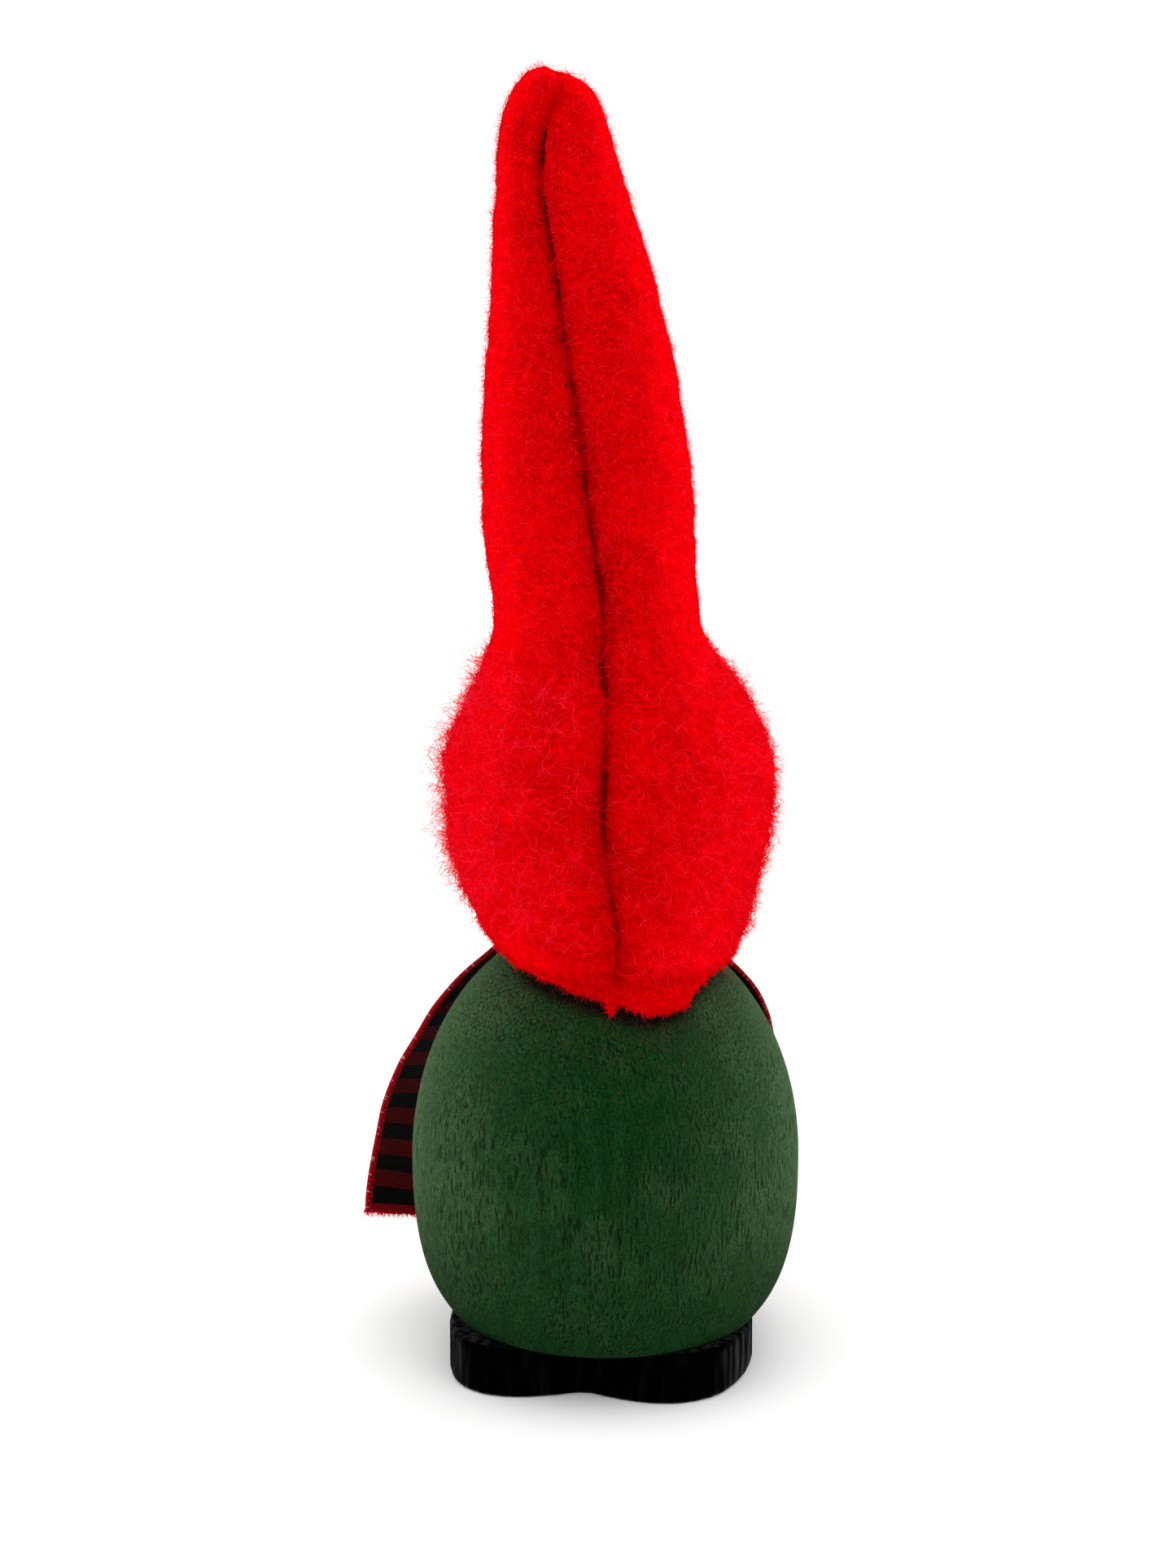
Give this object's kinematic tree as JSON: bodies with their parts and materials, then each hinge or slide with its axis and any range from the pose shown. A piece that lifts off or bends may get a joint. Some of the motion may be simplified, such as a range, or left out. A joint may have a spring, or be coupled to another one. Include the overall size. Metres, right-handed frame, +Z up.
{
  "type": "gnome figurine",
  "caption": "Standing wooden gnome figurine: egg-shaped body on a pair of flat feet, ball head under a tall leaning felt hat, ball nose, fleece beard and checked ribbon scarf.",
  "frame": {"origin": "flat underside of the feet, on the turning axis of the egg", "axes": "+Z up along the egg's axis to the hat's tip, -Y the way the figure faces, +X the figure's left"},
  "size_m": [0.0568, 0.0547, 0.1583],
  "materials": {
    "feet_paint": "black paint, satin",
    "body_paint": "dark green stain-like paint, matte",
    "bare_wood": "bare, sanded",
    "nose_wood": "clear lacquer, satin",
    "felt": "fuzzy wool felt",
    "wadding": "loose fibre",
    "thread": "twisted thread",
    "ribbon": "woven check, red and black",
    "fleece": "long curled fleece",
    "backing": "knitted backing"
  },
  "bodies": {
    "figure": {"feet_base": "feet_paint", "base_dowel_left": "bare_wood", "base_dowel_right": "bare_wood", "body_egg": "body_paint", "neck_dowel": "bare_wood", "head_ball": "bare_wood", "nose": "nose_wood", "nose_peg": "bare_wood", "hat_crown": "felt", "seam_thread_crown": "thread", "scarf_nape_band": "ribbon", "scarf_shoulder_left": "ribbon", "scarf_shoulder_right": "ribbon"},
    "hat_end": {"hat_peak": "felt", "hat_wadding": "wadding", "seam_thread_peak": "thread"},
    "scarf_end_left": {"scarf_tail_left": "ribbon"},
    "scarf_end_right": {"scarf_tail_right": "ribbon"},
    "beard": {"beard_backing": "backing", "beard_fleece": "fleece"}
  },
  "joints": [
    {"name": "hat_peak_bend", "type": "hinge", "parent": "figure", "child": "hat_end", "pos_m": [0, 0, 0.0831], "axis": [0, 1, 0], "range_deg": [-12, 12], "stiffness_Nm_per_rad": 0.06},
    {"name": "scarf_tail_left_swing", "type": "hinge", "parent": "figure", "child": "scarf_end_left", "pos_m": [0.01799, -0.00661, 0.04665], "axis": [-0.3449, -0.9387, 0], "range_deg": [-6, 60], "stiffness_Nm_per_rad": 0.0015},
    {"name": "scarf_tail_right_swing", "type": "hinge", "parent": "figure", "child": "scarf_end_right", "pos_m": [-0.01399, -0.01323, 0.04665], "axis": [-0.687, 0.7267, 0], "range_deg": [0, 55], "stiffness_Nm_per_rad": 0.0015},
    {"name": "beard_lift", "type": "hinge", "parent": "figure", "child": "beard", "pos_m": [0, -0.0122, 0.0533], "axis": [-1, 0, 0], "range_deg": [0, 22]}
  ]
}
